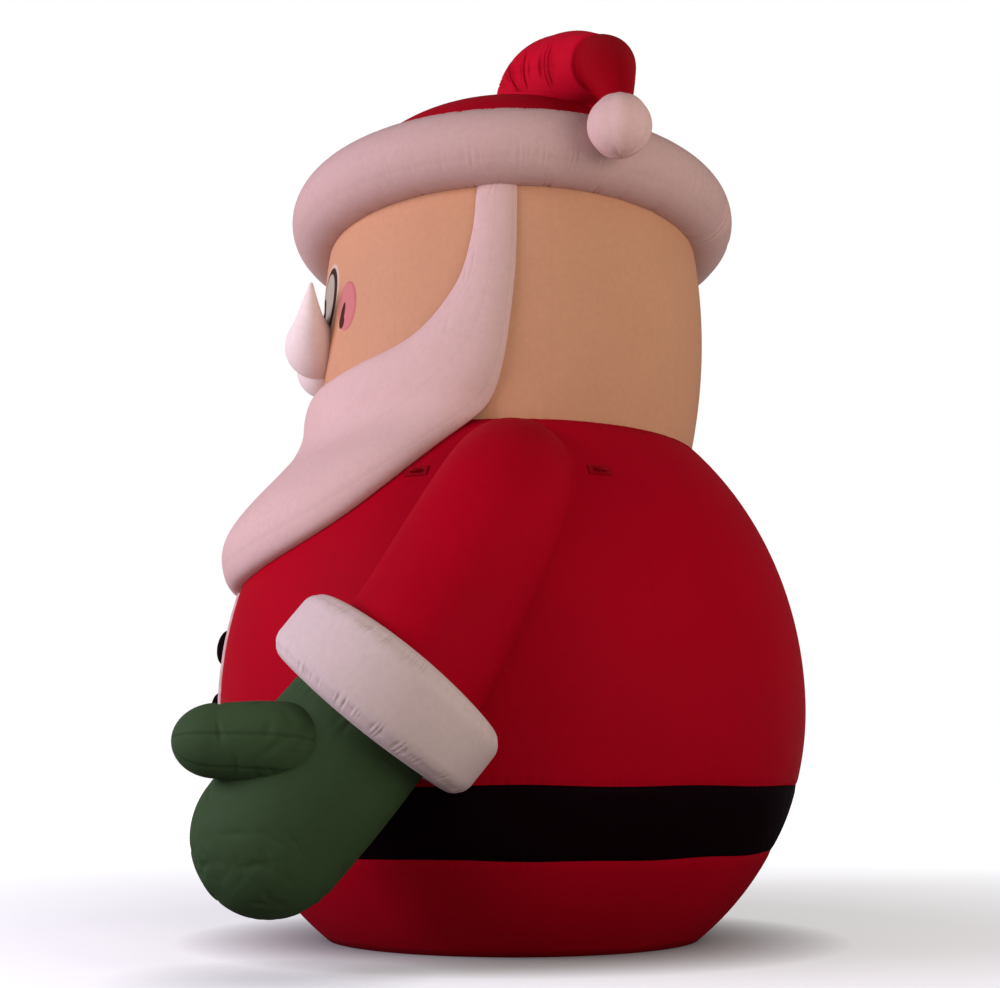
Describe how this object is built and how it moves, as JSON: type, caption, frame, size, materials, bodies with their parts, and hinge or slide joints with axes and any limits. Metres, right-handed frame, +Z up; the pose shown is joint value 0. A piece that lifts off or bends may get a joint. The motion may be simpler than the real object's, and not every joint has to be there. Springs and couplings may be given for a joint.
{
  "type": "inflatable santa figure",
  "caption": "Large air-filled Father Christmas figure in sewn nylon, standing on its flat round underside, with rolled hat brim, folded peak, bib beard, belt and mittens.",
  "frame": {"origin": "centre of the flat underside, on the ground", "axes": "+Z up; the figure faces -Y; +X is towards its left hand"},
  "size_m": [6.6776, 4.9688, 7.6951],
  "materials": {
    "red_nylon": "matte",
    "black_nylon": "matte",
    "yellow_nylon": "matte",
    "skin_nylon": "matte",
    "white_nylon": "matte",
    "green_nylon": "matte",
    "dark_webbing": "matte"
  },
  "bodies": {
    "root": {"coat": "red_nylon", "belt": "black_nylon", "belt_buckle": "yellow_nylon", "head": "skin_nylon", "nose": "skin_nylon", "hat_brim": "white_nylon", "hat_crown": "red_nylon", "hat_pompom": "white_nylon", "beard": "white_nylon", "moustache": "white_nylon", "sleeve_left": "red_nylon", "sleeve_right": "red_nylon", "cuff_left": "white_nylon", "cuff_right": "white_nylon", "mitten_left": "green_nylon", "mitten_right": "green_nylon", "coat_trim": "white_nylon", "button_1": "black_nylon", "button_2": "black_nylon", "tie_loop_left_front": "dark_webbing", "tie_loop_left_back": "dark_webbing", "tie_loop_right_front": "dark_webbing", "tie_loop_right_back": "dark_webbing"}
  },
  "joints": []
}
